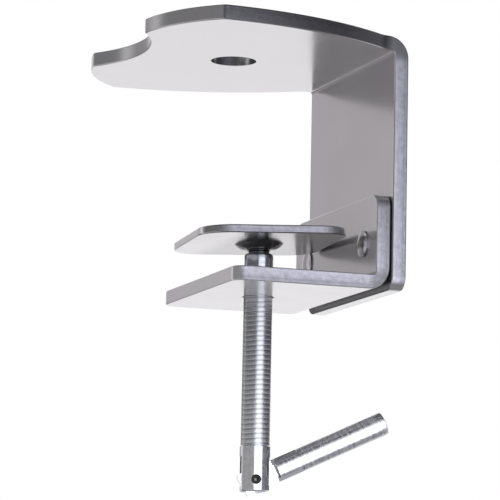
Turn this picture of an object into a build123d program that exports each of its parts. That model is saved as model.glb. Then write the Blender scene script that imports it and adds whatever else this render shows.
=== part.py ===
from build123d import *

import math
import os

# A bench clamp bent from steel sheet.  Millimetres.  The origin lies on the screw's axis, in the
# underside of the upper jaw, which is the face that rests on the table top.  +Z is up, +X runs
# towards the upright at the back, and the clamp opens towards -X.

# Sheet
SHEET = 4.76
BEND_INSIDE = 1.0
BEND_OUTSIDE = 7.16
CORNER = 4.5
EDGE_ROUND = 0.45
OVERALL_HEIGHT = 82.55
UPRIGHT_INNER_X = 31.7
UPRIGHT_OUTER_X = UPRIGHT_INNER_X + SHEET
UPRIGHT_WIDTH = 76.2
FOOT_Z = SHEET - OVERALL_HEIGHT

# Upper jaw, seen from above: it flares from the bend to a shoulder, then narrows to two horns
# with a hollow between them
SHOULDER = (-33.5, 58.8)
FLARE_MIDDLE = (2.9, 52.0)
FRONT_MIDDLE = (-43.9, 46.4)
HORN = (-49.9, 28.2)
HOLLOW_X = -41.3
SHOULDER_ROUND = 2.5
HORN_ROUND = 1.5
FLARE_ROUND = 8.0
FLARE_START_X = UPRIGHT_OUTER_X - BEND_OUTSIDE - 1.0
POST_HOLE_X = -10.2
POST_HOLE_RADIUS = 7.5

# Lower bracket
LOWER_WIDTH = 74.0
LOWER_JAW_FRONT_X = -20.9
LEG_HEIGHT = 31.0
LEG_GAP = 0.3
LEG_OUTER_X = UPRIGHT_INNER_X - LEG_GAP
LEG_INNER_X = LEG_OUTER_X - SHEET
LOWER_JAW_TOP_Z = FOOT_Z + SHEET

# Rivets
RIVET_SPACING = 50.8
RIVET_Z = FOOT_Z + 16.0
RIVET_SHANK_RADIUS = 2.8
RIVET_HEAD_RADIUS = 4.3
RIVET_HEAD_RIM = 0.5
RIVET_HEAD_HEIGHT = 1.3
RIVET_GAP = 0.02

# Clamp screw, 3/8 inch with 16 threads to the inch, and a fork at its lower end
THREAD_RADIUS = 4.74
THREAD_GAP = 0.05
THREAD_TOP_Z = FOOT_Z + 14.3
THREAD_END_ROUND = 1.1
NECK_RADIUS = 3.4
NECK_TOP_RADIUS = 2.3
NECK_HEIGHT = 1.6
NECK_SWELL_RADIUS = 3.05
NECK_SWELL_HEIGHT = 0.85
SPINDLE_RADIUS = 2.2
PEENED_RADIUS = 3.0
PEENED_TOP_RADIUS = 1.8
PEENED_HEIGHT = 0.85
FORK_RADIUS = 5.05
FORK_TOP_Z = FOOT_Z - 49.0
FORK_END_Z = FOOT_Z - 63.8
FORK_SLOT = 4.3
FORK_SLOT_TOP_Z = FOOT_Z - 52.3
FORK_CHAMFER = 0.6
SCREW_HOLE_CHAMFER = 0.6

# Pressure plate, which swivels on the screw's spindle and rests tipped up at the back and a few
# degrees out of square
PAD_LENGTH = 49.0
PAD_WIDTH = 53.0
PAD_SHEET = 2.66
PAD_CORNER = 10.2
PAD_EDGE_ROUND = 0.5
PAD_UNDERSIDE_Z = FOOT_Z + 17.5
PAD_TOP_Z = PAD_UNDERSIDE_Z + PAD_SHEET
PAD_TILT = 2.4
PAD_SPIN = -5.3
DISH_RADIUS = 8.0
DISH_FLOOR_RADIUS = 3.8
DISH_INNER_FLOOR_RADIUS = 5.2
DISH_DEPTH = 2.35
DISH_SWELL = 0.35
DISH_FLOOR = 2.0
DISH_HOLE_RADIUS = 3.6
DISH_PIVOT_Z = PAD_UNDERSIDE_Z - DISH_DEPTH + DISH_FLOOR / 2

# Washer under the spindle's peened head
WASHER_RADIUS = 4.5
WASHER_SHEET = 0.6
WASHER_GAP = 0.6
SPINDLE_GAP = 0.06

# Folding handle: a rod slotted over a flat blade that hinges in the fork
PIN_RADIUS = 1.6
PIN_BORE = 0.6
PIN_LENGTH = 9.2
PIN_GAP = 0.05
PIN_PRESS_GAP = 0.01
HINGE_Z = FOOT_Z - 59.8
HANDLE_RISE = 25.2
HANDLE_TURN = -12.4
ROD_RADIUS = 3.81
ROD_START = 7.5
ROD_END = 47.3
ROD_CROWN = 0.8
ROD_EDGE = 0.5
ROD_SLOT_DEPTH = 8.9
BLADE_SHEET = 4.0
BLADE_HEIGHT = 7.62
BLADE_TAIL = 5.0
BLADE_HEEL = 4.3
BLADE_TAIL_ROUND = 1.5
BLADE_FIT = 0.02
BLADE_SEAT_GAP = 0.2

# Larger than the clamp, for cuts that run right through
BIG = 200.0

# Two corners within this distance are at the same place
NEAR = 0.01


def bent_section(points, inner_corner, outer_corner):
    """A bent strip in the XZ plane, with its inner and outer corners rounded, cut BIG wide."""
    section = make_face(Polyline(*points, close=True))
    inner = section.vertices().sort_by_distance(inner_corner)[0]
    section = fillet(inner, BEND_INSIDE)
    outer = section.vertices().sort_by_distance(outer_corner)[0]
    section = fillet(outer, BEND_OUTSIDE)
    return extrude(section, BIG / 2, both=True)


def rounded_tab(width, low_z, high_z, rounded_z):
    """A block that trims an upright to its width, with two rounded corners at rounded_z."""
    middle = (low_z + high_z) / 2
    face = Plane.YZ * Pos(0, middle) * Rectangle(width, high_z - low_z)
    corners = [v for v in face.vertices() if abs(v.Z - rounded_z) < NEAR]
    return extrude(fillet(corners, CORNER), BIG, both=True)


def round_sheared_edges(body, radius):
    """Break the long edges of a sheet part; edges at the bend's own tangents stay as they are."""
    rim = [e for e in body.edges() if is_sheared_edge(body, e)]
    return fillet(rim, radius)


def is_sheared_edge(body, edge):
    """True where two faces of the sheet meet at a corner that runs along the sheet's face."""
    faces = [f for f in body.faces() if any(edge.is_same(other) for other in f.edges())]
    if len(faces) != 2:
        return False
    middle = edge.position_at(0.5)
    first = faces[0].normal_at(middle)
    second = faces[1].normal_at(middle)
    return abs(first.dot(second)) < 0.2


def jaw_outline():
    """The upper jaw's outline, from above, with the bend's width kept over the upright."""
    half = UPRIGHT_WIDTH / 2
    side = ThreePointArc((FLARE_START_X, half), FLARE_MIDDLE, SHOULDER)
    front = ThreePointArc(SHOULDER, FRONT_MIDDLE, HORN)
    hollow = ThreePointArc(HORN, (HOLLOW_X, 0), (HORN[0], -HORN[1]))
    back = Polyline(
        (FLARE_START_X, half),
        (BIG / 2, half),
        (BIG / 2, -half),
        (FLARE_START_X, -half),
    )
    edges = [side, front, hollow, mirror(front, Plane.XZ), mirror(side, Plane.XZ), back]
    face = make_face(Curve() + edges)
    flares = [v for v in face.vertices() if abs(v.X - FLARE_START_X) < NEAR]
    face = fillet(flares, FLARE_ROUND)
    shoulders = [v for v in face.vertices() if abs(v.X - SHOULDER[0]) < NEAR]
    face = fillet(shoulders, SHOULDER_ROUND)
    horns = [v for v in face.vertices() if abs(v.X - HORN[0]) < NEAR]
    return fillet(horns, HORN_ROUND)


def rivet_holes():
    """Holes through the leg and the upright for the two rivets."""
    places = [Pos(UPRIGHT_INNER_X, y, RIVET_Z) for y in (-RIVET_SPACING / 2, RIVET_SPACING / 2)]
    radius = RIVET_SHANK_RADIUS + RIVET_GAP
    return [place * Rot(0, 90, 0) * Cylinder(radius, BIG) for place in places]


def upper_bracket():
    front = -BIG / 2
    points = [
        (front, 0, 0),
        (UPRIGHT_INNER_X, 0, 0),
        (UPRIGHT_INNER_X, 0, FOOT_Z),
        (UPRIGHT_OUTER_X, 0, FOOT_Z),
        (UPRIGHT_OUTER_X, 0, SHEET),
        (front, 0, SHEET),
    ]
    strip = bent_section(points, (UPRIGHT_INNER_X, 0, 0), (UPRIGHT_OUTER_X, 0, SHEET))
    jaw = extrude(Pos(0, 0, -BEND_INSIDE) * jaw_outline(), BEND_INSIDE + 2 * SHEET)
    tab = rounded_tab(UPRIGHT_WIDTH, FOOT_Z, 0, FOOT_Z)
    body = strip & (jaw + tab)
    body = round_sheared_edges(body, EDGE_ROUND)
    body -= Pos(POST_HOLE_X, 0, 0) * Cylinder(POST_HOLE_RADIUS, BIG)
    for hole in rivet_holes():
        body -= hole
    return body


def lower_bracket():
    leg_top = FOOT_Z + LEG_HEIGHT
    points = [
        (LOWER_JAW_FRONT_X, 0, FOOT_Z),
        (LEG_OUTER_X, 0, FOOT_Z),
        (LEG_OUTER_X, 0, leg_top),
        (LEG_INNER_X, 0, leg_top),
        (LEG_INNER_X, 0, LOWER_JAW_TOP_Z),
        (LOWER_JAW_FRONT_X, 0, LOWER_JAW_TOP_Z),
    ]
    inner = (LEG_INNER_X, 0, LOWER_JAW_TOP_Z)
    strip = bent_section(points, inner, (LEG_OUTER_X, 0, FOOT_Z))
    length = LEG_OUTER_X - LOWER_JAW_FRONT_X
    plan = Pos(LOWER_JAW_FRONT_X + length / 2, 0) * Rectangle(length, LOWER_WIDTH)
    plan = fillet([v for v in plan.vertices() if v.X < 0], CORNER)
    jaw = extrude(Pos(0, 0, FOOT_Z) * plan, BIG)
    body = strip & jaw & rounded_tab(LOWER_WIDTH, -BIG, leg_top, leg_top)
    body = round_sheared_edges(body, EDGE_ROUND)
    radius = THREAD_RADIUS + THREAD_GAP
    body -= Cylinder(radius, BIG)
    countersink = Cone(radius + SCREW_HOLE_CHAMFER, radius, SCREW_HOLE_CHAMFER)
    body -= Pos(0, 0, FOOT_Z + SCREW_HOLE_CHAMFER / 2) * countersink
    for hole in rivet_holes():
        body -= hole
    return body


def rivet_head():
    """A low domed head that rises along +Z from the origin."""
    rim = Pos(0, 0, RIVET_HEAD_RIM / 2) * Cylinder(RIVET_HEAD_RADIUS, RIVET_HEAD_RIM)
    rise = RIVET_HEAD_HEIGHT - RIVET_HEAD_RIM
    dome_radius = (RIVET_HEAD_RADIUS**2 + rise**2) / (2 * rise)
    ball = Pos(0, 0, RIVET_HEAD_HEIGHT - dome_radius) * Sphere(dome_radius)
    upper = Pos(0, 0, RIVET_HEAD_RIM + rise / 2) * Cylinder(RIVET_HEAD_RADIUS, rise)
    return rim + (upper & ball)


def bracket_rivet(y):
    grip = UPRIGHT_OUTER_X - LEG_INNER_X
    shank = Pos(0, 0, grip / 2) * Cylinder(RIVET_SHANK_RADIUS, grip)
    inner_head = Rot(180, 0, 0) * rivet_head()
    outer_head = Pos(0, 0, grip) * rivet_head()
    return Pos(LEG_INNER_X, y, RIVET_Z) * Rot(0, 90, 0) * (shank + inner_head + outer_head)


def screw_profile():
    """The screw's outline as a half section, from its peened tip down to its fork."""
    washer_top = PAD_UNDERSIDE_Z - DISH_DEPTH + DISH_FLOOR + WASHER_GAP + WASHER_SHEET
    head_low = washer_top + SPINDLE_GAP
    head_top = head_low + PEENED_HEIGHT
    neck_top = THREAD_TOP_Z + NECK_HEIGHT
    shoulder = THREAD_TOP_Z - THREAD_END_ROUND
    run_out = FORK_TOP_Z + FORK_RADIUS - THREAD_RADIUS
    tip = Polyline(
        (0, 0, head_top),
        (PEENED_TOP_RADIUS, 0, head_top),
        (PEENED_RADIUS, 0, head_low + PEENED_HEIGHT / 2),
        (PEENED_RADIUS, 0, head_low),
        (SPINDLE_RADIUS, 0, head_low),
        (SPINDLE_RADIUS, 0, neck_top),
        (NECK_TOP_RADIUS, 0, neck_top),
    )
    neck = ThreePointArc(
        (NECK_TOP_RADIUS, 0, neck_top),
        (NECK_SWELL_RADIUS, 0, THREAD_TOP_Z + NECK_SWELL_HEIGHT),
        (NECK_RADIUS, 0, THREAD_TOP_Z),
    )
    flat = Line(
        (NECK_RADIUS, 0, THREAD_TOP_Z),
        (THREAD_RADIUS - THREAD_END_ROUND, 0, THREAD_TOP_Z),
    )
    lean = THREAD_END_ROUND * (1 - math.sqrt(0.5))
    rounding = ThreePointArc(
        (THREAD_RADIUS - THREAD_END_ROUND, 0, THREAD_TOP_Z),
        (THREAD_RADIUS - lean, 0, THREAD_TOP_Z - lean),
        (THREAD_RADIUS, 0, shoulder),
    )
    rest = Polyline(
        (THREAD_RADIUS, 0, shoulder),
        (THREAD_RADIUS, 0, run_out),
        (FORK_RADIUS, 0, FORK_TOP_Z),
        (FORK_RADIUS, 0, FORK_END_Z + FORK_CHAMFER),
        (FORK_RADIUS - FORK_CHAMFER, 0, FORK_END_Z),
        (0, 0, FORK_END_Z),
        (0, 0, head_top),
    )
    return make_face(Curve() + [tip, neck, flat, rounding, rest])


def clamp_screw():
    body = revolve(screw_profile(), Axis.Z)
    slot = Pos(0, 0, FORK_SLOT_TOP_Z - BIG / 2) * Box(BIG, FORK_SLOT, BIG)
    pin_hole = Pos(0, 0, HINGE_Z) * Rot(90, 0, 0) * Cylinder(PIN_RADIUS + PIN_PRESS_GAP, BIG)
    return body - Rot(0, 0, HANDLE_TURN) * (slot + pin_hole)


def hinge_pin():
    tube = Cylinder(PIN_RADIUS, PIN_LENGTH) - Cylinder(PIN_BORE, PIN_LENGTH)
    return Pos(0, 0, HINGE_Z) * Rot(0, 0, HANDLE_TURN) * Rot(90, 0, 0) * tube


def in_dish_place(solid):
    """Turn and tip a solid with the pressure plate, about the middle of the dish's floor."""
    pivot = Pos(0, 0, DISH_PIVOT_Z)
    return pivot * Rot(0, 0, PAD_SPIN) * Rot(0, -PAD_TILT, 0) * Pos(0, 0, -DISH_PIVOT_Z) * solid


def dish_bowl(rim_radius, floor_radius, rim_z, floor_z):
    """A shallow round bowl from its rim down to a flat floor, with a swelling side."""
    side_x = (rim_radius + floor_radius) / 2 + DISH_SWELL
    side_z = (rim_z + floor_z) / 2 - DISH_SWELL
    side = ThreePointArc((rim_radius, 0, rim_z), (side_x, 0, side_z), (floor_radius, 0, floor_z))
    rest = Polyline((floor_radius, 0, floor_z), (0, 0, floor_z), (0, 0, rim_z), (rim_radius, 0, rim_z))
    return revolve(make_face(Curve() + [side, rest]), Axis.Z)


def pressure_plate():
    outline = RectangleRounded(PAD_LENGTH, PAD_WIDTH, PAD_CORNER)
    plate = extrude(Pos(0, 0, PAD_UNDERSIDE_Z) * outline, PAD_SHEET)
    plate = fillet(plate.edges().filter_by(Plane.XY), PAD_EDGE_ROUND)
    floor_low = PAD_UNDERSIDE_Z - DISH_DEPTH
    floor_top = floor_low + DISH_FLOOR
    plate += dish_bowl(DISH_RADIUS, DISH_FLOOR_RADIUS, PAD_UNDERSIDE_Z, floor_low)
    plate -= dish_bowl(DISH_RADIUS, DISH_INNER_FLOOR_RADIUS, PAD_TOP_Z, floor_top)
    plate -= Cylinder(DISH_HOLE_RADIUS, BIG)
    return in_dish_place(plate)


def retaining_washer():
    low = PAD_UNDERSIDE_Z - DISH_DEPTH + DISH_FLOOR + WASHER_GAP
    bore = SPINDLE_RADIUS + SPINDLE_GAP
    ring = Cylinder(WASHER_RADIUS, WASHER_SHEET) - Cylinder(bore, WASHER_SHEET)
    return Pos(0, 0, low + WASHER_SHEET / 2) * ring


def in_handle_place(solid):
    """Carry a solid from the handle's own frame, +X along the rod, to its place on the hinge."""
    return Pos(0, 0, HINGE_Z) * Rot(0, 0, HANDLE_TURN) * Rot(0, -HANDLE_RISE, 0) * solid


def handle_rod():
    crown_start = ROD_END - ROD_CROWN
    side = Polyline(
        (ROD_START, 0, 0),
        (ROD_START, 0, ROD_RADIUS - ROD_EDGE),
        (ROD_START + ROD_EDGE, 0, ROD_RADIUS),
        (crown_start, 0, ROD_RADIUS),
    )
    crown_radius = (ROD_RADIUS**2 + ROD_CROWN**2) / (2 * ROD_CROWN)
    crown_sag = crown_radius - math.sqrt(crown_radius**2 - ROD_RADIUS**2 / 4)
    crown_middle = (ROD_END - crown_sag, 0, ROD_RADIUS / 2)
    crown = ThreePointArc((crown_start, 0, ROD_RADIUS), crown_middle, (ROD_END, 0, 0))
    middle = Line((ROD_END, 0, 0), (ROD_START, 0, 0))
    rod = revolve(make_face(Curve() + [side, crown, middle]), Axis.X)
    slot_end = ROD_START + ROD_SLOT_DEPTH
    slot = Pos(slot_end / 2, 0, 0) * Box(slot_end, BLADE_SHEET + 2 * BLADE_FIT, BIG)
    return in_handle_place(rod - slot)


def handle_blade():
    blade_end = ROD_START + ROD_SLOT_DEPTH - BLADE_SEAT_GAP
    half = BLADE_HEIGHT / 2
    outline = Polyline(
        (blade_end, 0, half),
        (-BLADE_TAIL, 0, half),
        (-BLADE_HEEL, 0, -half),
        (blade_end, 0, -half),
        close=True,
    )
    side = make_face(outline)
    side = fillet(side.vertices().sort_by_distance((-BLADE_TAIL, 0, half))[0], BLADE_TAIL_ROUND)
    blade = extrude(side, BLADE_SHEET / 2, both=True)
    blade -= Rot(90, 0, 0) * Cylinder(PIN_RADIUS + PIN_GAP, BIG)
    return in_handle_place(blade)


def main():
    os.makedirs("parts", exist_ok=True)
    parts = {
        "upper_bracket": upper_bracket(),
        "lower_bracket": lower_bracket(),
        "bracket_rivet_near": bracket_rivet(-RIVET_SPACING / 2),
        "bracket_rivet_far": bracket_rivet(RIVET_SPACING / 2),
        "clamp_screw": clamp_screw(),
        "hinge_pin": hinge_pin(),
        "pressure_plate": pressure_plate(),
        "retaining_washer": retaining_washer(),
        "handle_rod": handle_rod(),
        "handle_blade": handle_blade(),
    }
    for name, part in parts.items():
        part.label = name
        export_step(part, f"parts/{name}.step")
        print(name, round(part.volume), "mm3")


main()
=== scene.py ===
import math

import bmesh
import bpy
from mathutils import Matrix, Vector


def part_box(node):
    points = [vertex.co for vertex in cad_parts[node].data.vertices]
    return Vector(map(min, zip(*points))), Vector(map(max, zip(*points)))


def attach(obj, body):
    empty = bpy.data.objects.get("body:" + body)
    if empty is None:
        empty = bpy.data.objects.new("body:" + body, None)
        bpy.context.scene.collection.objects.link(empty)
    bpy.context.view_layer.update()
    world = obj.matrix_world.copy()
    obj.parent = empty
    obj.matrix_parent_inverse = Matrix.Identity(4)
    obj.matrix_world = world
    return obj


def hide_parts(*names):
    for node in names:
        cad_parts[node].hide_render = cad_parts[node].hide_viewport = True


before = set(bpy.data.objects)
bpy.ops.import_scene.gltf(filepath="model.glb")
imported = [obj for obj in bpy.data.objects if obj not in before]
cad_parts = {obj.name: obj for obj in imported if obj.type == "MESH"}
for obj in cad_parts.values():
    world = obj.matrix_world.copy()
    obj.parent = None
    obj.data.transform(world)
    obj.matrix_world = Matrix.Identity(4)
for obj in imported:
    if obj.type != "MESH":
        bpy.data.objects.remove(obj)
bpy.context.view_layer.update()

# A table clamp bent from steel sheet, with a threaded screw and a folding handle.  The CAD nodes
# of the sheets, rivets, plate and washer keep their shape.  The screw, its pin and the handle are
# rebuilt here with their thread, slit and chamfers.  Meshes are drawn in mm and stored in metres.

MM = 0.001

# Levels of the clamp, in mm from the upper jaw's underside
FOOT_Z = -77.79
THREAD_TOP_Z = FOOT_Z + 14.3
THREAD_START_Z = FOOT_Z + 9.0
FORK_TOP_Z = FOOT_Z - 49.0
FORK_END_Z = FOOT_Z - 63.8
HINGE_Z = FOOT_Z - 59.8
TIP_TOP_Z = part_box("clamp_screw")[1].z / MM

# Middles of the two outer bends, as (x, z)
UPPER_BEND = (29.3, -2.4)
LOWER_BEND = (24.24, FOOT_Z + 7.16)

# Screw
THREAD_RADIUS = 4.74
THREAD_PITCH = 25.4 / 16
THREAD_DEPTH = 0.05
THREAD_FORM = (0.0, 0.0, 0.0, 0.0, 0.0, 0.12, 0.5, 0.88, 1.0, 0.88, 0.5, 0.12)
THREAD_RUN_OUT = 1.2
COLLAR_ROUND = 1.1
SPINDLE_RADIUS = 2.2
NECK_RADIUS = 3.4
NECK_TOP_RADIUS = 2.3
NECK_HEIGHT = 1.6
PEENED_RADIUS = 3.0
PEENED_HEIGHT = 0.85
PEENED_CROWN = 1.2
FORK_RADIUS = 5.05
FORK_SLOT = 4.3
FORK_SLOT_TOP_Z = FOOT_Z - 52.3
FORK_CHAMFER = 0.6
PIN_RADIUS = 1.6
PIN_BORE = 0.6
PIN_LENGTH = 9.2
PIN_CHAMFER = 0.2
PIN_SLIT = math.radians(26)
PIN_STEPS = 40

# Handle
HANDLE_RISE = math.radians(25.2)
HANDLE_TURN = math.radians(-12.4)
ROD_RADIUS = 3.81
ROD_START = 7.5
ROD_END = 47.3
ROD_CROWN = 0.8
ROD_EDGE = 0.5
ROD_EDGE_IN = 0.12
ROD_STEPS = 12
ROD_SLOT_END = ROD_START + 8.9
CHEEK_TOP = 1.95
CHEEK_FOOT = -2.7
BLADE_SHEET = 4.0
BLADE_HEIGHT = 7.62
BLADE_TAIL = 5.0
BLADE_HEEL = 4.3
BLADE_TAIL_ROUND = 1.5
BLADE_CHAMFER = 1.85
BLADE_CHAMFER_START = ROD_START - 0.4
BLADE_END = ROD_SLOT_END - 0.2
CHAMFER_BAR = 2.0

# Half the length of a cutter that passes right through a piece
BIG = 30.0

# Clearance of a hole or slot round what it takes, and width of the edges that are softened
PIN_HOLE_CLEARANCE = 0.01
BLADE_HOLE_CLEARANCE = 0.05
BLADE_CLEARANCE = 0.02
FORK_SOFT_EDGE = 0.18
HANDLE_SOFT_EDGE = 0.16

# Fineness of the meshes: gaps that are closed, edges that stay sharp, and faces round curves
MERGE_GAP = 1e-4
SPECK = 1e-5
SMOOTH_ANGLE = math.radians(32)
SOFTEN_ANGLE = math.radians(35)
SOFTEN_SEGMENTS = 2
ROUND_SEGMENTS = 96
HOLE_SEGMENTS = 48
ARC_STEPS = 8

# How far painted shade darkens the coat's colour on the walls of the upper jaw's cut edges
JAW_EDGE_SHADE = 0.5

# Studio, in metres, and the view's angles
FLOOR_Z = -0.42
FLOOR_RADIUS = 9.0
FLOOR_DEPTH = 0.02
FLOOR_SEGMENTS = 64
LAMP_PLACE = Vector((-0.4, -0.5, 2.2))
LAMP_SIZE = 2.5
LAMP_POWER = 60
VIEW_YAW = math.radians(19.453)
VIEW_PITCH = math.radians(8.393)
VIEW_ROLL = math.radians(1.173)
VIEW_DISTANCE = 1.0168
VIEW_TARGET = Vector((-0.00313, 0, -0.06241))
VIEW_LENS = 223.71
VIEW_SENSOR = 36.0


# Meshes

def piece_from_bmesh(bm, name, material):
    """A new object from a bmesh drawn in mm, smooth except at its real edges."""
    bmesh.ops.remove_doubles(bm, verts=bm.verts, dist=MERGE_GAP)
    bmesh.ops.dissolve_degenerate(bm, edges=bm.edges, dist=SPECK)
    bmesh.ops.recalc_face_normals(bm, faces=bm.faces)
    bmesh.ops.scale(bm, vec=(MM, MM, MM), verts=bm.verts)
    mesh = bpy.data.meshes.new(name)
    bm.to_mesh(mesh)
    bm.free()
    mesh.shade_smooth()
    mesh.set_sharp_from_angle(angle=SMOOTH_ANGLE)
    obj = bpy.data.objects.new(name, mesh)
    bpy.context.scene.collection.objects.link(obj)
    obj.data.materials.append(material)
    return obj


def skin_rings(bm, rings):
    """Quads between rings of equal length, with a flat cap at each end."""
    made = [[bm.verts.new(p) for p in ring] for ring in rings]
    count = len(made[0])
    for upper, lower in zip(made, made[1:]):
        for i in range(count):
            j = (i + 1) % count
            bm.faces.new((upper[i], upper[j], lower[j], lower[i]))
    bm.faces.new(made[0])
    bm.faces.new(reversed(made[-1]))


def circle(radius, height, segments):
    """Points round the Z axis."""
    steps = [math.tau * i / segments for i in range(segments)]
    return [Vector((radius * math.cos(a), radius * math.sin(a), height)) for a in steps]


def lathe(bm, profile, segments=ROUND_SEGMENTS):
    """A solid turned about Z from (radius, height) pairs."""
    skin_rings(bm, [circle(radius, height, segments) for radius, height in profile])


def cut(obj, cutter):
    """Take the cutter's shape out of obj and remove the cutter."""
    modifier = obj.modifiers.new("cut", "BOOLEAN")
    modifier.operation = "DIFFERENCE"
    modifier.solver = "EXACT"
    modifier.object = cutter
    settle(obj)
    bpy.data.objects.remove(cutter)


def carry(obj, matrix):
    """Move a piece's mesh, and leave its object at the origin."""
    obj.data.transform(matrix)
    obj.data.update()


def settle(obj):
    """Apply every modifier, so that the mesh is what shows."""
    bpy.context.view_layer.update()
    graph = bpy.context.evaluated_depsgraph_get()
    mesh = bpy.data.meshes.new_from_object(obj.evaluated_get(graph))
    obj.modifiers.clear()
    obj.data = mesh


def soften(obj, width):
    """Round the sharp edges of a machined piece."""
    modifier = obj.modifiers.new("soften", "BEVEL")
    modifier.width = width * MM
    modifier.segments = SOFTEN_SEGMENTS
    modifier.limit_method = "ANGLE"
    modifier.angle_limit = SOFTEN_ANGLE
    modifier.harden_normals = True
    settle(obj)


def block(name, low, high):
    """A cutter with flat sides between two corners, in mm."""
    bm = bmesh.new()
    low, high = Vector(low), Vector(high)
    bmesh.ops.create_cube(bm, size=1.0)
    bmesh.ops.scale(bm, vec=high - low, verts=bm.verts)
    bmesh.ops.translate(bm, vec=(low + high) / 2, verts=bm.verts)
    return piece_from_bmesh(bm, name, None)


def drill(name, radius, length):
    """A round cutter along Y through the origin, in mm."""
    bm = bmesh.new()
    lathe(bm, [(radius, length / 2), (radius, -length / 2)], HOLE_SEGMENTS)
    bmesh.ops.rotate(bm, matrix=Matrix.Rotation(math.pi / 2, 3, "X"), verts=bm.verts)
    return piece_from_bmesh(bm, name, None)


# Screw

def thread_radius(phase, height):
    """The thread's radius, led in from the collar above and out to the fork below."""
    depth = THREAD_DEPTH * THREAD_FORM[phase]
    from_end = min(THREAD_START_Z - height, height - FORK_TOP_Z)
    return THREAD_RADIUS - depth * min(max(from_end / THREAD_RUN_OUT, 0), 1)


def screw_thread(material):
    """The helical thread, as rows of points that climb one pitch in each turn."""
    bm = bmesh.new()
    steps = len(THREAD_FORM)
    length = THREAD_START_Z - FORK_TOP_Z
    rows = math.ceil((length / THREAD_PITCH + 1) * steps) + 1
    made = []
    for j in range(rows):
        row = []
        for i in range(ROUND_SEGMENTS + 1):
            turn = i / ROUND_SEGMENTS
            height = THREAD_START_Z + THREAD_PITCH * (turn - j / steps)
            height = min(max(height, FORK_TOP_Z), THREAD_START_Z)
            radius = thread_radius(j % steps, height)
            angle = math.tau * turn
            point = (radius * math.cos(angle), radius * math.sin(angle), height)
            row.append(bm.verts.new(point))
        made.append(row)
    for upper, lower in zip(made, made[1:]):
        for i in range(ROUND_SEGMENTS):
            corners = (upper[i], lower[i], lower[i + 1], upper[i + 1])
            if len({tuple(v.co) for v in corners}) > 2:
                bm.faces.new(corners)
    bmesh.ops.remove_doubles(bm, verts=bm.verts, dist=MERGE_GAP)
    bmesh.ops.holes_fill(bm, edges=[e for e in bm.edges if e.is_boundary])
    return piece_from_bmesh(bm, "screw_thread", material)


def arc_down(radius, top, wide, tall):
    """(radius, height) pairs of a quarter ellipse that swells outward from radius at top."""
    turns = [math.pi / 2 * i / ARC_STEPS for i in range(ARC_STEPS + 1)]
    return [(radius + wide * math.sin(a), top - tall * (1 - math.cos(a))) for a in turns]


def screw_neck(material):
    """The polished tip: a collar without thread, a rounded neck, the spindle and its peened head."""
    bm = bmesh.new()
    head_low = TIP_TOP_Z - PEENED_HEIGHT
    neck_top = THREAD_TOP_Z + NECK_HEIGHT
    crown = arc_down(PEENED_RADIUS - PEENED_CROWN, TIP_TOP_Z, PEENED_CROWN, PEENED_HEIGHT / 2)
    spindle = [(PEENED_RADIUS, head_low), (SPINDLE_RADIUS, head_low), (SPINDLE_RADIUS, neck_top)]
    neck = arc_down(NECK_TOP_RADIUS, neck_top, NECK_RADIUS - NECK_TOP_RADIUS, NECK_HEIGHT)
    collar = arc_down(THREAD_RADIUS - COLLAR_ROUND, THREAD_TOP_Z, COLLAR_ROUND, COLLAR_ROUND)
    lathe(bm, crown + spindle + neck + collar + [(THREAD_RADIUS, THREAD_START_Z)])
    return piece_from_bmesh(bm, "screw_neck", material)


def screw_fork(material):
    """The smooth lower end, slotted for the handle's blade and drilled for its pin."""
    bm = bmesh.new()
    step = FORK_RADIUS - THREAD_RADIUS
    profile = [(THREAD_RADIUS - step, FORK_TOP_Z + step), (THREAD_RADIUS, FORK_TOP_Z + step)]
    profile += [(FORK_RADIUS, FORK_TOP_Z), (FORK_RADIUS, FORK_END_Z + FORK_CHAMFER)]
    profile += [(FORK_RADIUS - FORK_CHAMFER, FORK_END_Z)]
    lathe(bm, profile)
    obj = piece_from_bmesh(bm, "screw_fork", material)
    half = FORK_SLOT / 2
    slot = block("slot", (-BIG, -half, FORK_END_Z - FORK_RADIUS), (BIG, half, FORK_SLOT_TOP_Z))
    slot.matrix_world = Matrix.Rotation(HANDLE_TURN, 4, "Z")
    cut(obj, slot)
    hole = drill("pin_hole", PIN_RADIUS + PIN_HOLE_CLEARANCE, BIG)
    hole.matrix_world = pin_place()
    cut(obj, hole)
    soften(obj, FORK_SOFT_EDGE)
    return obj


def pin_place():
    """From the pin's own frame, +Y along its axis, to its place in the fork."""
    return Matrix.Translation((0, 0, HINGE_Z * MM)) @ Matrix.Rotation(HANDLE_TURN, 4, "Z")


def roll_pin(material):
    """A spring pin rolled from strip, with its slit and chamfered ends."""
    bm = bmesh.new()
    strip = math.tau - PIN_SLIT
    angles = [PIN_SLIT / 2 + strip * i / PIN_STEPS for i in range(PIN_STEPS + 1)]
    half = PIN_LENGTH / 2
    inner_end = half - 2 * PIN_CHAMFER
    ends = ((-half, PIN_CHAMFER), (-inner_end, 0.0), (inner_end, 0.0), (half, PIN_CHAMFER))
    rings = []
    for y, inset in ends:
        outer = PIN_RADIUS - inset
        inner = PIN_BORE + inset / 2
        ring = [Vector((outer * math.sin(a), y, outer * math.cos(a))) for a in angles]
        ring += [Vector((inner * math.sin(a), y, inner * math.cos(a))) for a in reversed(angles)]
        rings.append(ring)
    skin_rings(bm, rings)
    obj = piece_from_bmesh(bm, "roll_pin", material)
    carry(obj, pin_place())
    return obj


# Handle

def in_handle_place():
    """From the handle's own frame, +X along the rod, to its place on the hinge."""
    lift = Matrix.Translation((0, 0, HINGE_Z * MM))
    turn = Matrix.Rotation(HANDLE_TURN, 4, "Z")
    return lift @ turn @ Matrix.Rotation(-HANDLE_RISE, 4, "Y")


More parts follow.
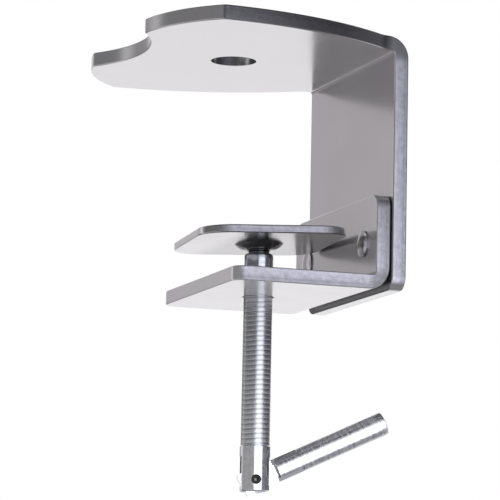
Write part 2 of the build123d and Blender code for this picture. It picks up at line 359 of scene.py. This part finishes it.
def handle_rod(material):
    """A round rod with a slotted end, whose cheeks are trimmed, and a low crown at the far end."""
    bm = bmesh.new()
    crown_radius = (ROD_RADIUS**2 + ROD_CROWN**2) / (2 * ROD_CROWN)
    side_start = ROD_START + ROD_EDGE
    side_end = ROD_END - ROD_CROWN - ROD_EDGE
    profile = [(ROD_RADIUS - ROD_EDGE, ROD_START), (ROD_RADIUS, side_start)]
    for i in range(1, ROD_STEPS + 1):
        profile.append((ROD_RADIUS, side_start + (side_end - side_start) * i / ROD_STEPS))
    for i in range(ROD_STEPS, 0, -1):
        radius = (ROD_RADIUS - ROD_EDGE_IN) * i / ROD_STEPS
        sag = crown_radius - math.sqrt(crown_radius**2 - radius**2)
        profile.append((radius, ROD_END - sag))
    lathe(bm, profile)
    bmesh.ops.rotate(bm, matrix=Matrix.Rotation(math.pi / 2, 3, "Y"), verts=bm.verts)
    obj = piece_from_bmesh(bm, "rod", material)
    half = BLADE_SHEET / 2 + BLADE_CLEARANCE
    cut(obj, block("rod_slot", (-BIG, -half, -BIG), (ROD_SLOT_END, half, BIG)))
    cut(obj, block("cheek_top", (-BIG, -BIG, CHEEK_TOP), (ROD_SLOT_END, BIG, BIG)))
    cut(obj, block("cheek_foot", (-BIG, -BIG, -BIG), (ROD_SLOT_END, BIG, CHEEK_FOOT)))
    soften(obj, HANDLE_SOFT_EDGE)
    carry(obj, in_handle_place())
    return obj


def blade_outline():
    """The blade's side view in the handle's frame, with a rounded upper corner at its tail."""
    half = BLADE_HEIGHT / 2
    outline = [Vector((BLADE_END, 0, -half)), Vector((BLADE_END, 0, half))]
    centre = Vector((BLADE_TAIL_ROUND - BLADE_TAIL, 0, half - BLADE_TAIL_ROUND))
    for i in range(ARC_STEPS + 1):
        angle = math.pi / 2 * (1 + i / ARC_STEPS)
        outline.append(centre + BLADE_TAIL_ROUND * Vector((math.cos(angle), 0, math.sin(angle))))
    outline.append(Vector((-BLADE_HEEL, 0, -half)))
    return outline


def handle_blade(material):
    """The flat blade that joins the rod to the fork's pin, chamfered where the rod holds it."""
    bm = bmesh.new()
    aside = Vector((0, BLADE_SHEET / 2, 0))
    skin_rings(bm, [[p + aside for p in blade_outline()], [p - aside for p in blade_outline()]])
    obj = piece_from_bmesh(bm, "blade", material)
    cut(obj, drill("blade_hole", PIN_RADIUS + BLADE_HOLE_CLEARANCE, BIG))
    for side in (-1, 1):
        for end in (-1, 1):
            cut(obj, chamfer_cutter(side, end))
    soften(obj, HANDLE_SOFT_EDGE)
    carry(obj, in_handle_place())
    return obj


def chamfer_cutter(side, end):
    """A bar turned by 45 degrees that takes one long corner off the blade."""
    half = CHAMFER_BAR
    bar = block("chamfer", (BLADE_CHAMFER_START, -half, -half), (BIG, half, half))
    out = (half - BLADE_CHAMFER / math.sqrt(2)) / math.sqrt(2)
    place = Vector((0, side * (BLADE_SHEET / 2 + out), end * (BLADE_HEIGHT / 2 + out)))
    bar.matrix_world = Matrix.Translation(place * MM) @ Matrix.Rotation(math.pi / 4, 4, "X")
    return bar


# Materials

# Sockets of the Mix node's colours, whose names it also gives to plain values
MIX_FIRST, MIX_SECOND, MIX_RESULT = 6, 7, 2

# Noise on the silver coat, in features per metre
GRAIN_SCALE = 1500.0
STREAK_SCALE = 900.0
MOTTLE_SCALE = 620.0
DENT_SCALE = 260.0
CLOUD_SCALE = 45.0

# Colours of the silver coat's flats, and of its sheared edges
COAT_DARK = (0.71, 0.70, 0.715, 1)
COAT_PALE = (0.84, 0.83, 0.84, 1)
# Painted shade laid over the flats at corners, jaw walls, crevice and dish
COAT_SHADE = (0.07, 0.07, 0.075, 1)
SHEARED_DARK = (0.25, 0.25, 0.285, 1)
SHEARED_PALE = (0.53, 0.52, 0.60, 1)
SHEARED_RIM = (0.14, 0.14, 0.16, 1)
SHEARED_LIP = (0.62, 0.60, 0.70, 1)
# Painted shade for sheared edges higher up, on the upper jaw and in the bend
SHEARED_HIGH_SHADE = (0.06, 0.06, 0.064, 1)
SHEARED_JAW_SHADE = (0.04, 0.04, 0.042, 1)
SHEARED_BEND_SHADE = (0.12, 0.12, 0.13, 1)
# Painted shade for crevices and gaps between parts
CREVICE_SHADE = (0.03, 0.03, 0.035, 1)

# Darkest and lightest tone of each plated finish
PLATE_TONES = ((0.75, 0.76, 0.79, 1), (0.87, 0.88, 0.91, 1))
ROD_TONES = ((0.42, 0.43, 0.46, 1), (0.80, 0.81, 0.85, 1))
NECK_TONES = ((0.24, 0.25, 0.28, 1), (0.37, 0.38, 0.42, 1))
PIN_TONES = ((0.012, 0.012, 0.012, 1), (0.03, 0.03, 0.03, 1))
THREAD_TOP_TONES = ((0.22, 0.225, 0.24, 1), (0.35, 0.36, 0.385, 1))
THREAD_FORK_TONES = ((0.49, 0.50, 0.53, 1), (0.66, 0.67, 0.70, 1))
# Painted shade for the thread's roots
THREAD_ROOT_SHADE = (0.05, 0.05, 0.05, 1)
# Painted shade for the rod's end and the neck above the collar
PLATED_SHADE = (0.02, 0.02, 0.022, 1)

# How a finish's marks are stretched: into rings round the piece's Z axis, or lines along it
ROUND_AXIS = (0.04, 0.04, 1.0)
ALONG_AXIS = (1.0, 1.0, 0.03)

# The coat on each sheet.  bend is the (x, z) in mm that a sheared edge's streaks run round, and
# upward is 1 where the bend's outer corner is above it and -1 where it is below.  The triple after
# metallic paints shade on a sheared edge, from one z to another, in mm, up to its third value.
# corner, the number after it, dish and crevice say how much painted shade darkens the flats: at
# corners, towards +x, on the dish's sloping wall and at the upright's foot.  The plate, whose coat
# the rivets share, has no bend: the one given lies beyond it in x, so that its streaks are level.
COATS = {
    "upper_coat": {
        "bend": UPPER_BEND, "upward": 1.0, "metallic": 0.93, "height_shade": (-80, -4, 0.42),
        "corner": 0.5, "shade_plus_x": 0.0, "dish": 0.0, "crevice": 0.95,
    },
    "lower_coat": {
        "bend": LOWER_BEND, "upward": -1.0, "metallic": 0.8, "height_shade": (-75, -47, 0.55),
        "corner": 0.42, "shade_plus_x": 0.0, "dish": 0.0, "crevice": 0.0,
    },
    "plate_coat": {
        "bend": (BIG, FOOT_Z), "upward": 1.0, "metallic": 0.93, "height_shade": (-80, -4, 0.42),
        "corner": 0.65, "shade_plus_x": 0.35, "dish": 0.8, "crevice": 0.0,
    },
}


class Graph:
    """Short hand for building a node tree."""

    def __init__(self, tree):
        self.tree = tree
        self.tree.nodes.clear()

    def node(self, kind, settings=None, **inputs):
        made = self.tree.nodes.new(kind)
        for key, value in (settings or {}).items():
            setattr(made, key, value)
        for key, value in inputs.items():
            self.set(made, key.replace("_", " "), value)
        return made

    def set(self, node, socket, value):
        target = node.inputs[socket]
        if isinstance(value, bpy.types.NodeSocket):
            self.tree.links.new(value, target)
        else:
            target.default_value = value

    def math(self, operation, first, second=0.0):
        made = self.tree.nodes.new("ShaderNodeMath")
        made.operation = operation
        self.set(made, 0, first)
        self.set(made, 1, second)
        return made.outputs[0]

    def mean(self, first, second, share=0.5):
        """An average in which the first value has the given share."""
        weighed = self.math("MULTIPLY", first, share)
        return self.math("ADD", weighed, self.math("MULTIPLY", second, 1 - share))

    def distance(self, first, second):
        """How far a point is from an axis, from its two coordinates across it."""
        squares = [self.math("MULTIPLY", side, side) for side in (first, second)]
        return self.math("SQRT", self.math("ADD", *squares))

    def ramp(self, value, from_low, from_high, to_low, to_high, smooth=False):
        made = self.tree.nodes.new("ShaderNodeMapRange")
        made.interpolation_type = "SMOOTHSTEP" if smooth else "LINEAR"
        self.set(made, "Value", value)
        self.set(made, "From Min", from_low)
        self.set(made, "From Max", from_high)
        self.set(made, "To Min", to_low)
        self.set(made, "To Max", to_high)
        return made.outputs["Result"]

    def ramp_mm(self, value, from_low, from_high, to_low, to_high, smooth=False):
        """A ramp over a length or place, whose two ends are in mm."""
        return self.ramp(value, from_low * MM, from_high * MM, to_low, to_high, smooth)

    def mix(self, factor, first, second):
        """From the first colour to the second as the factor goes from 0 to 1."""
        made = self.node("ShaderNodeMix", {"data_type": "RGBA"}, Factor=factor)
        self.set(made, MIX_FIRST, first)
        self.set(made, MIX_SECOND, second)
        return made.outputs[MIX_RESULT]

    def between(self, factor, first, second):
        """From the first plain value to the second as the factor goes from 0 to 1."""
        return self.node("ShaderNodeMix", Factor=factor, A=first, B=second).outputs["Result"]

    def noise(self, vector, scale, detail):
        made = self.node("ShaderNodeTexNoise", Vector=vector, Scale=scale, Detail=detail)
        return made.outputs["Fac"]

    def bump(self, height, depth, normal=None):
        """The normal of a height map in which 1 stands depth mm above 0."""
        made = self.node("ShaderNodeBump", Height=height, Distance=depth * MM, Strength=1.0)
        if normal is not None:
            self.set(made, "Normal", normal)
        return made.outputs["Normal"]


def new_material(name):
    material = bpy.data.materials.new(name)
    material.use_nodes = True
    graph = Graph(material.node_tree)
    return material, graph


def metal_output(graph, colour, roughness, normal, metallic=1.0):
    shader = graph.node("ShaderNodeBsdfPrincipled", Metallic=metallic)
    graph.set(shader, "Base Color", colour)
    graph.set(shader, "Roughness", roughness)
    graph.set(shader, "Normal", normal)
    output = graph.node("ShaderNodeOutputMaterial")
    graph.set(output, "Surface", shader.outputs["BSDF"])


def paint_crevice_shade(graph, colour, reach, depth):
    """Darken a colour with painted shade in crevices and gaps between parts, within reach mm."""
    hollow = graph.node("ShaderNodeAmbientOcclusion", {"samples": 12}, Distance=reach * MM)
    open_air = graph.ramp(hollow.outputs["AO"], 0.12, 0.5, 0.0, 1.0, smooth=True)
    return graph.mix(open_air, graph.mix(depth, colour, CREVICE_SHADE), colour)


def round_bend(graph, at, bend, upward):
    """How far a point is outside the bend's middle, and how much it lies in the bend itself."""
    beyond_x = graph.math("SUBTRACT", at["X"], bend[0] * MM)
    beyond_z = graph.math("MULTIPLY", graph.math("SUBTRACT", at["Z"], bend[1] * MM), upward)
    outside = [graph.math("MAXIMUM", beyond, 0.0) for beyond in (beyond_x, beyond_z)]
    inside = [graph.ramp_mm(beyond, -1, 3, 0.0, 1.0, smooth=True) for beyond in (beyond_x, beyond_z)]
    return graph.distance(*outside), graph.math("MULTIPLY", *inside)


def coat_shade(graph, at, facing, coat):
    """How much painted shade darkens a flat: at corners, on the jaw's cut edges, towards +x, in a
    crevice and on the dish's wall.
    """
    sideways = graph.math("ABSOLUTE", facing["Y"])
    level = graph.math("ABSOLUTE", facing["Z"])
    # Painted shade on faces turned partly sideways, at rounded corners
    shade = graph.ramp(sideways, 0.15, 0.45, 0.0, coat["corner"], smooth=True)
    # Painted shade on the walls of the upper jaw's cut edges
    in_jaw = graph.ramp_mm(at["Z"], -0.1, 0.3, 0.0, 1.0)
    cut_edge = graph.ramp(level, 0.3, 0.7, JAW_EDGE_SHADE, 0.0, smooth=True)
    # Painted shade over the plate towards +x, from none at x = -17 mm to full at -8 mm and beyond
    shaded_plus_x = graph.ramp_mm(at["X"], -17, -8, 0.0, coat["shade_plus_x"], smooth=True)
    # Painted shade in the crevice at the foot of the upright's inner face
    near_foot = graph.ramp_mm(at["Z"], FOOT_Z + 5, FOOT_Z + 2, 0.0, coat["crevice"])
    inner_face = graph.ramp(facing["X"], -0.6, -0.9, 0.0, 1.0)
    # Painted dark reflection on the dish's sloping wall, within 8.2 mm of the screw's axis
    near_axis = graph.ramp_mm(graph.distance(at["X"], at["Y"]), 8.2, 8.8, coat["dish"], 0.0)
    sloping = graph.ramp(level, 0.93, 0.985, 1.0, 0.0, smooth=True)
    jaw_wall = graph.math("MULTIPLY", in_jaw, cut_edge)
    crevice = graph.math("MULTIPLY", near_foot, inner_face)
    dish_wall = graph.math("MULTIPLY", near_axis, sloping)
    for darker in (jaw_wall, shaded_plus_x, crevice, dish_wall):
        shade = graph.math("MAXIMUM", shade, darker)
    return shade


def sheared_colour(graph, at, across, bent, rubbed, height_shade):
    """A sheared edge: pale round the bend's middle and darker at its rim, with painted shade in the
    bend, on the upper jaw and higher up.
    """
    rubbed = graph.ramp(rubbed, 0.3, 0.7, 0.0, 1.0)
    colour = graph.mix(rubbed, SHEARED_DARK, SHEARED_PALE)
    height_shade_from, height_shade_to, height_shade_most = height_shade
    rim = graph.ramp_mm(across, 5.0, 6.2, 0.0, 0.35, smooth=True)
    lip = graph.ramp_mm(across, 2.6, 4.2, 0.3, 0.0, smooth=True)
    # Painted shade on the sheared edge: higher up, on the upper jaw and in the bend
    high = graph.ramp_mm(at["Z"], height_shade_from, height_shade_to, 0.0, height_shade_most)
    jaw = graph.ramp_mm(at["Z"], -5, 0, 0.0, 0.72, smooth=True)
    bend_shade = graph.math("MULTIPLY", bent, 0.5)
    tints = (SHEARED_RIM, SHEARED_LIP, SHEARED_HIGH_SHADE, SHEARED_JAW_SHADE, SHEARED_BEND_SHADE)
    for amount, tint in zip((rim, lip, high, jaw, bend_shade), tints):
        colour = graph.mix(amount, colour, tint)
    return colour


def coat_relief(graph, where, grain, streak, sheared):
    """Grain and streaks, faint on the flats and full on sheared edges, over wide shallow dents."""
    lift = graph.ramp(sheared, 0.0, 1.0, 0.1, 1.0)
    relief = graph.bump(graph.math("MULTIPLY", grain, lift), 0.06)
    relief = graph.bump(graph.math("MULTIPLY", streak, lift), 0.08, relief)
    return graph.bump(graph.noise(where, DENT_SCALE, 2.0), 0.02, relief)


def silver_coat(name, coat):
    """Silver coat on bent sheet: glossy on the flats, dull, streaked and darker where sheared."""
    material, graph = new_material(name)
    place = graph.node("ShaderNodeTexCoord")
    where = place.outputs["Object"]
    at = graph.node("ShaderNodeSeparateXYZ", Vector=where).outputs
    facing = graph.node("ShaderNodeSeparateXYZ", Vector=place.outputs["Normal"]).outputs
    grain = graph.noise(where, GRAIN_SCALE, 3.0)
    mottle = graph.noise(where, MOTTLE_SCALE, 3.0)
    cloud = graph.noise(where, CLOUD_SCALE, 3.0)
    across, bent = round_bend(graph, at, coat["bend"], coat["upward"])
    waver = graph.math("MULTIPLY", cloud, 0.4 * MM)
    lines = graph.node("ShaderNodeCombineXYZ", X=across, Z=waver)
    streak = graph.noise(lines.outputs["Vector"], STREAK_SCALE, 2.0)

    flat = graph.mix(graph.mean(grain, cloud), COAT_DARK, COAT_PALE)
    # Painted shade darkens the flats at corners, jaw walls, crevice and dish
    flat = graph.mix(coat_shade(graph, at, facing, coat), flat, COAT_SHADE)
    rubbed = graph.mean(streak, mottle, 0.6)
    edge = sheared_colour(graph, at, across, bent, rubbed, coat["height_shade"])
    sideways = graph.math("ABSOLUTE", facing["Y"])
    sheared = graph.ramp(sideways, 0.75, 0.93, 0.0, 1.0, smooth=True)
    # Ambient occlusion paints shade into the coat's crevices and gaps
    colour = paint_crevice_shade(graph, graph.mix(sheared, flat, edge), 6.0, 0.97)

    flat_roughness = graph.ramp(cloud, 0.3, 0.7, 0.17, 0.23)
    edge_roughness = graph.ramp(grain, 0.3, 0.7, 0.42, 0.56)
    roughness = graph.between(sheared, flat_roughness, edge_roughness)
    relief = coat_relief(graph, where, grain, streak, sheared)
    metal_output(graph, colour, roughness, relief, coat["metallic"])
    return material


def plated_steel(name, tones, roughness, lay, mark_scale, mark_depth, frame_of=None, shade=None):
    """Plated steel with fine marks that follow the lay, and blotches in its tone and gloss.

    frame_of gives the finish a frame of its own, and shade lays painted shade on it from one z to
    another."""
    material, graph = new_material(name)
    where = graph.node("ShaderNodeTexCoord").outputs["Object"]
    if frame_of is not None:
        place = graph.node("ShaderNodeMapping", {"vector_type": "TEXTURE"}, Vector=where)
        graph.set(place, "Location", frame_of.to_translation())
        graph.set(place, "Rotation", frame_of.to_euler())
        where = place.outputs["Vector"]
    stretched = graph.node("ShaderNodeMapping", Vector=where, Scale=lay)
    marks = graph.noise(stretched.outputs["Vector"], mark_scale, 2.0)
    blotch = graph.noise(where, 950.0, 4.0)
    tone = graph.ramp(graph.mean(marks, blotch), 0.35, 0.65, 0.0, 1.0)
    # Ambient occlusion paints shade into the steel's crevices
    colour = paint_crevice_shade(graph, graph.mix(tone, *tones), 3.0, 0.7)
    # Painted shade, darkening from one z to another
    if shade is not None:
        along = graph.node("ShaderNodeSeparateXYZ", Vector=where).outputs["Z"]
        dim = graph.ramp_mm(along, *shade, 0.0, 0.8, smooth=True)
        colour = graph.mix(dim, colour, PLATED_SHADE)
    gloss = graph.ramp(blotch, 0.35, 0.65, *roughness)
    metal_output(graph, colour, gloss, graph.bump(marks, mark_depth))
    return material


def top_darkened_thread():
    """Plated thread with painted shade in its roots, darker towards its top and paler towards the
    fork.
    """
    material, graph = new_material("plated_thread")
    where = graph.node("ShaderNodeTexCoord").outputs["Object"]
    at = graph.node("ShaderNodeSeparateXYZ", Vector=where).outputs
    towards_fork = graph.ramp_mm(at["Z"], THREAD_START_Z, FORK_TOP_Z, 0.0, 1.0)
    grain = graph.noise(where, 900.0, 3.0)
    top_tone, fork_tone = [graph.mix(grain, *tones) for tones in (THREAD_TOP_TONES, THREAD_FORK_TONES)]
    colour = graph.mix(towards_fork, top_tone, fork_tone)
    # Painted shade in the thread's roots, between its crests
    from_axis = graph.distance(at["X"], at["Y"])
    root_shade = graph.ramp_mm(from_axis, THREAD_RADIUS - THREAD_DEPTH, THREAD_RADIUS, 0.4, 0.0)
    colour = graph.mix(root_shade, colour, THREAD_ROOT_SHADE)
    roughness = graph.ramp(towards_fork, 0.0, 1.0, 0.22, 0.36)
    metal_output(graph, colour, roughness, graph.bump(grain, 0.04))
    return material


def make_materials():
    """One material for each finish; the rod's turning marks run round its own axis."""
    rod_frame = in_handle_place() @ Matrix.Rotation(math.pi / 2, 4, "Y")
    # Painted shade on the rod's slotted end and on the neck above the collar
    rod_shade = (ROD_START + 0.6, ROD_START + 0.3)
    neck_shade = (THREAD_TOP_Z - 0.3, THREAD_TOP_Z + 0.3)
    rod = plated_steel(
        "plated_rod", ROD_TONES, (0.12, 0.36), ROUND_AXIS, 1500.0, 0.02, rod_frame, rod_shade
    )
    neck = plated_steel(
        "polished_neck", NECK_TONES, (0.07, 0.11), ROUND_AXIS, 3000.0, 0.002, shade=neck_shade
    )
    materials = {name: silver_coat(name, coat) for name, coat in COATS.items()}
    materials.update({
        "thread": top_darkened_thread(),
        "neck": neck,
        "fork": plated_steel("plated_fork", PLATE_TONES, (0.13, 0.2), ALONG_AXIS, 900.0, 0.02),
        "rod": rod,
        "blade": plated_steel("plated_blade", PLATE_TONES, (0.12, 0.2), ALONG_AXIS, 900.0, 0.01),
        "pin": plated_steel("spring_steel", PIN_TONES, (0.25, 0.35), ROUND_AXIS, 2000.0, 0.01),
    })
    return materials


# Studio

# Panels of light and shade, each laid over the ones before it: azimuth and half width, elevation
# and half height and softness, all in degrees, then colour
PANELS = {
    "back": (70, 40, -20, 9, 4, (0.86, 0.85, 0.87)),
    "below": (0, 200, -70, 32, 8, (0.42, 0.42, 0.43)),
    "left": (-163, 53, 39, 41, 5, (0.33, 0.325, 0.33)),
    "back_left": (112, 18, 12, 45, 8, (0.45, 0.43, 0.445)),
    "back_left_low": (112, 18, -45, 42, 4, (0.21, 0.20, 0.21)),
    "right": (-10, 48, 42, 43, 5, (0.15, 0.15, 0.17)),
    "key": (-83, 25, -14, 36, 10, (2.6, 2.64, 2.75)),
    "overhead": (0, 200, 80, 36, 14, (0.07, 0.07, 0.08)),
}
WHITE = (0.98, 0.97, 0.98, 1)


def panel_mask(graph, azimuth, elevation, panel):
    """1 inside a panel and 0 outside it, with a soft edge."""
    centre, half_width, level, half_height, soft = panel[:5]
    offset = graph.math("SUBTRACT", azimuth, math.radians(centre))
    turned = graph.node("ShaderNodeMath", {"operation": "WRAP"})
    for socket, value in enumerate((offset, math.pi, -math.pi)):
        graph.set(turned, socket, value)
    across = graph.math("ABSOLUTE", turned.outputs[0])
    up = graph.math("ABSOLUTE", graph.math("SUBTRACT", elevation, math.radians(level)))
    edges = []
    for distance, half in ((across, half_width), (up, half_height)):
        near, far = math.radians(half - soft), math.radians(half + soft)
        edges.append(graph.ramp(distance, near, far, 1.0, 0.0, smooth=True))
    return graph.math("MULTIPLY", *edges)


def studio_world():
    """White all round for the camera; panels of light and shade for what the metal reflects."""
    world = bpy.data.worlds.new("studio")
    bpy.context.scene.world = world
    world.use_nodes = True
    graph = Graph(world.node_tree)
    place = graph.node("ShaderNodeTexCoord")
    split = graph.node("ShaderNodeSeparateXYZ", Vector=place.outputs["Generated"])
    azimuth = graph.math("ARCTAN2", split.outputs["Y"], split.outputs["X"])
    elevation = graph.math("ARCSINE", split.outputs["Z"])
    light = WHITE
    for panel in PANELS.values():
        light = graph.mix(panel_mask(graph, azimuth, elevation, panel), light, (*panel[5], 1))
    seen = graph.node("ShaderNodeBackground", Color=(1, 1, 1, 1), Strength=1.0)
    shed = graph.node("ShaderNodeBackground", Color=light, Strength=1.0)
    path = graph.node("ShaderNodeLightPath")
    both = graph.node("ShaderNodeMixShader")
    for socket, value in enumerate((path.outputs["Is Camera Ray"], shed.outputs[0], seen.outputs[0])):
        graph.set(both, socket, value)
    output = graph.node("ShaderNodeOutputWorld")
    graph.set(output, "Surface", both.outputs[0])


def studio_floor():
    """A wide pale floor, well below the clamp."""
    bm = bmesh.new()
    lathe(bm, [(FLOOR_RADIUS / MM, 0), (FLOOR_RADIUS / MM, -FLOOR_DEPTH / MM)], FLOOR_SEGMENTS)
    material, graph = new_material("pale_floor")
    shader = graph.node("ShaderNodeBsdfPrincipled", Roughness=0.8)
    graph.set(shader, "Base Color", (0.9, 0.9, 0.9, 1))
    output = graph.node("ShaderNodeOutputMaterial")
    graph.set(output, "Surface", shader.outputs["BSDF"])
    floor = piece_from_bmesh(bm, "floor", material)
    floor.location.z = FLOOR_Z
    floor.visible_glossy = False


def studio_lamp():
    """A large soft lamp overhead."""
    data = bpy.data.lights.new("overhead", "AREA")
    data.shape = "DISK"
    data.size = LAMP_SIZE
    data.energy = LAMP_POWER
    lamp = bpy.data.objects.new("overhead", data)
    lamp.location = LAMP_PLACE
    lamp.rotation_euler = (-LAMP_PLACE).to_track_quat("-Z", "Y").to_euler()
    lamp.visible_glossy = False
    bpy.context.scene.collection.objects.link(lamp)


def photo_camera():
    """The photo's viewpoint: from the front left and below, with a long lens."""
    ahead = Vector((math.sin(VIEW_YAW), math.cos(VIEW_YAW), 0)) * math.cos(VIEW_PITCH)
    ahead.z = math.sin(VIEW_PITCH)
    right = Vector((math.cos(VIEW_YAW), -math.sin(VIEW_YAW), 0))
    up = right.cross(ahead)
    rolled_right = math.cos(VIEW_ROLL) * right + math.sin(VIEW_ROLL) * up
    rolled_up = -math.sin(VIEW_ROLL) * right + math.cos(VIEW_ROLL) * up
    axes = Matrix((rolled_right, rolled_up, -ahead)).transposed()
    data = bpy.data.cameras.new("camera")
    data.sensor_width = VIEW_SENSOR
    data.lens = VIEW_LENS
    data.clip_start = 0.05
    data.clip_end = 50.0
    camera = bpy.data.objects.new("camera", data)
    camera.matrix_world = Matrix.Translation(VIEW_TARGET - VIEW_DISTANCE * ahead) @ axes.to_4x4()
    bpy.context.scene.collection.objects.link(camera)
    bpy.context.scene.camera = camera


# The scene

def finish_cad_nodes(materials):
    """Give the CAD nodes that keep their shape their finish."""
    finishes = {
        "upper_bracket": "upper_coat",
        "lower_bracket": "lower_coat",
        "bracket_rivet_near": "plate_coat",
        "bracket_rivet_far": "plate_coat",
        "pressure_plate": "plate_coat",
        "retaining_washer": "fork",
    }
    for node, finish in finishes.items():
        dress(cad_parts[node], materials[finish])


def dress(obj, material):
    if not obj.material_slots:
        obj.data.materials.append(material)
    for slot in obj.material_slots:
        slot.material = material


def put_on(obj, body, slot, *nodes):
    """Make a new piece ride on a body, and stand for its CAD nodes."""
    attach(obj, body)
    if nodes:
        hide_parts(*nodes)


def build():
    materials = make_materials()
    finish_cad_nodes(materials)
    put_on(screw_thread(materials["thread"]), "screw", "zinc_plated_steel", "clamp_screw")
    put_on(screw_neck(materials["neck"]), "screw", "zinc_plated_steel")
    put_on(screw_fork(materials["fork"]), "screw", "zinc_plated_steel")
    put_on(roll_pin(materials["pin"]), "screw", "dark_spring_steel", "hinge_pin")
    put_on(handle_rod(materials["rod"]), "handle", "polished_plated_steel", "handle_rod")
    put_on(handle_blade(materials["blade"]), "handle", "polished_plated_steel", "handle_blade")


bpy.context.scene.view_settings.view_transform = "Standard"
studio_world()
studio_floor()
studio_lamp()
photo_camera()
build()
